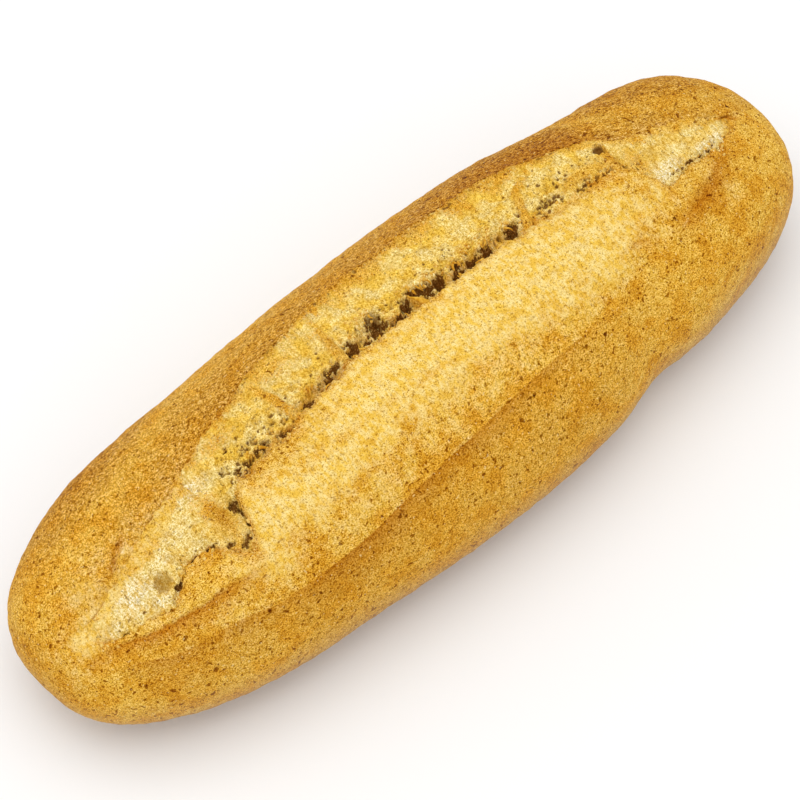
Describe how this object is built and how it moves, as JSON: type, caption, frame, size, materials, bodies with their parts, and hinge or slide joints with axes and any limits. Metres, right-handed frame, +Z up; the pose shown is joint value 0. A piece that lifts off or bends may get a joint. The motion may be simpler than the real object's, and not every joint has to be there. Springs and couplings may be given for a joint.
{
  "type": "whole wheat bread loaf",
  "caption": "Oblong whole wheat loaf with rounded ends and a flat sole, split along the top into a craggy torn crumb under a raised crust lip.",
  "frame": {"origin": "on the table under the middle of the loaf, at the bottom centre of its box", "axes": "+X along the loaf, +Y across it towards the raised lip of the split, +Z up"},
  "size_m": [0.3, 0.0992, 0.0679],
  "materials": {
    "crust": "matte, golden brown, mottled, with dark bran specks and paler torn crumb"
  },
  "bodies": {
    "root": {"loaf": "crust"}
  },
  "joints": []
}
